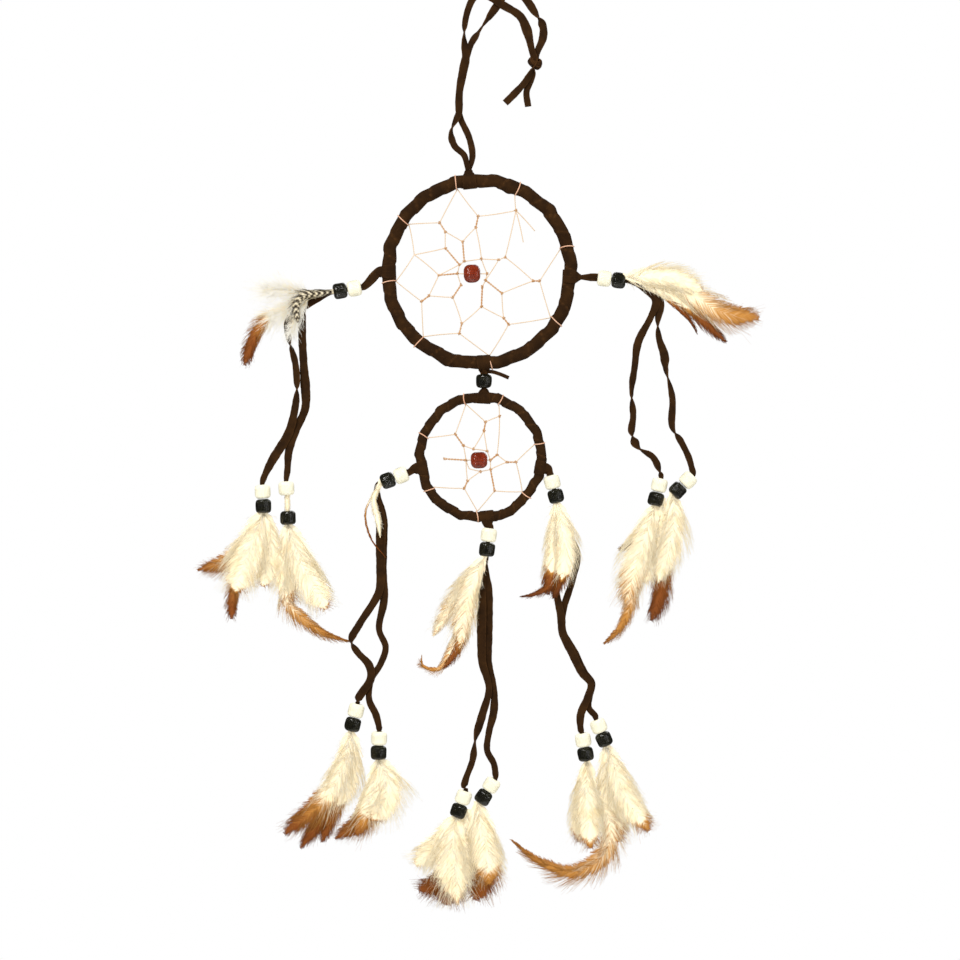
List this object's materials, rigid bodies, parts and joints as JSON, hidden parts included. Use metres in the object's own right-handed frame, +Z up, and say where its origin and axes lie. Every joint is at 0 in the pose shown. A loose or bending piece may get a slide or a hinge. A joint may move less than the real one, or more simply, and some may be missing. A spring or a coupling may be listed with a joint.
{
  "type": "dream catcher",
  "caption": "Dream catcher: a large and a small suede-wrapped hoop with thread webs, linked under a suede hanger, with beaded and feathered lace pendants.",
  "frame": {"origin": "the point under the hanger's bends, where it goes over a peg or nail", "axes": "+Z up towards the peg's side, the front of both hoops faces -Y, +X to the right as seen from the front"},
  "size_m": [0.339, 0.0108, 0.5598],
  "materials": {
    "hoop_wood": "bent round hoop, hidden under its wrapping",
    "suede": "dark brown suede strip, matt, with a short nap and lighter cut edges",
    "suede_lace": "dark brown flat suede lace, matt nap, cut edges",
    "waxed_thread": "fine peach-coloured waxed thread",
    "red_bead": "red-brown glossy glass bead",
    "white_bead": "ivory bead, satin with a fine crackle",
    "black_bead": "glossy black bead, slightly uneven",
    "feather": "cream fowl feather, downy at the base, rust-brown at the tip"
  },
  "bodies": {
    "hanger": {"hanger_hitch": "suede", "hanger_lace_a": "suede_lace", "hanger_lace_b": "suede_lace", "hanger_knot": "suede_lace"},
    "large_hoop": {"ring_large_core": "hoop_wood", "ring_large_wrap": "suede", "web_large": "waxed_thread", "lu_hitch": "suede", "lu_top_white": "white_bead", "lu_top_black": "black_bead", "ru_hitch": "suede", "ru_top_white": "white_bead", "ru_top_black": "black_bead"},
    "large_web_bead": {"web_bead_large": "red_bead"},
    "link": {"link_hitch": "suede", "link_bead": "black_bead"},
    "small_hoop": {"small_hoop_hitch": "suede", "ring_small_core": "hoop_wood", "ring_small_wrap": "suede", "web_small": "waxed_thread", "sl_hitch": "suede", "sl_top_white": "white_bead", "sl_top_black": "black_bead", "sb_hitch": "suede", "sb_top_white": "white_bead", "sb_top_black": "black_bead", "sr_hitch": "suede", "sr_top_white": "white_bead", "sr_top_black": "black_bead"},
    "small_web_bead": {"web_bead_small": "red_bead"},
    "lu_pendant": {"lu_top_feather": "feather", "lu_lace_a": "suede_lace", "lu_lace_b": "suede_lace", "lu_end_whites": "white_bead", "lu_end_blacks": "black_bead", "lu_feathers": "feather"},
    "ru_pendant": {"ru_top_feather": "feather", "ru_lace_a": "suede_lace", "ru_lace_b": "suede_lace", "ru_end_whites": "white_bead", "ru_end_blacks": "black_bead", "ru_feathers": "feather"},
    "sl_pendant": {"sl_top_feather": "feather", "sl_lace_a": "suede_lace", "sl_lace_b": "suede_lace", "sl_end_whites": "white_bead", "sl_end_blacks": "black_bead", "sl_feathers": "feather"},
    "sb_pendant": {"sb_top_feather": "feather", "sb_lace_a": "suede_lace", "sb_lace_b": "suede_lace", "sb_end_whites": "white_bead", "sb_end_blacks": "black_bead", "sb_feathers": "feather"},
    "sr_pendant": {"sr_top_feather": "feather", "sr_lace_a": "suede_lace", "sr_lace_b": "suede_lace", "sr_end_whites": "white_bead", "sr_end_blacks": "black_bead", "sr_feathers": "feather"}
  },
  "joints": [
    {"name": "large_hoop_swing", "type": "hinge", "parent": "hanger", "child": "large_hoop", "pos_m": [-0.0159, 0, -0.1153], "axis": [0.9945, 0, 0.1045], "range_deg": [-35, 35]},
    {"name": "large_web_bead_spin", "type": "hinge", "parent": "large_hoop", "child": "large_web_bead", "pos_m": [-0.0143, 0, -0.172], "axis": [1, 0, 0], "continuous": true},
    {"name": "link_swing", "type": "hinge", "parent": "large_hoop", "child": "link", "pos_m": [-0.0071, 0, -0.2269], "axis": [0.9986, 0, 0.0523], "range_deg": [-40, 40]},
    {"name": "small_hoop_twist", "type": "hinge", "parent": "link", "child": "small_hoop", "pos_m": [-0.0071, 0, -0.242], "axis": [0, 0, 1], "range_deg": [-60, 60]},
    {"name": "small_web_bead_spin", "type": "hinge", "parent": "small_hoop", "child": "small_web_bead", "pos_m": [-0.01, 0, -0.2858], "axis": [1, 0, 0], "continuous": true},
    {"name": "lu_pendant_swing", "type": "hinge", "parent": "large_hoop", "child": "lu_pendant", "pos_m": [-0.0989, 0, -0.1833], "axis": [1, 0, 0], "range_deg": [-50, 50]},
    {"name": "ru_pendant_swing", "type": "hinge", "parent": "large_hoop", "child": "ru_pendant", "pos_m": [0.0795, 0, -0.1766], "axis": [1, 0, 0], "range_deg": [-50, 50]},
    {"name": "sl_pendant_swing", "type": "hinge", "parent": "small_hoop", "child": "sl_pendant", "pos_m": [-0.0697, 0, -0.2997], "axis": [1, 0, 0], "range_deg": [-50, 50]},
    {"name": "sb_pendant_swing", "type": "hinge", "parent": "small_hoop", "child": "sb_pendant", "pos_m": [-0.0056, 0, -0.3445], "axis": [1, 0, 0], "range_deg": [-50, 50]},
    {"name": "sr_pendant_swing", "type": "hinge", "parent": "small_hoop", "child": "sr_pendant", "pos_m": [0.038, 0, -0.3118], "axis": [1, 0, 0], "range_deg": [-50, 50]}
  ]
}
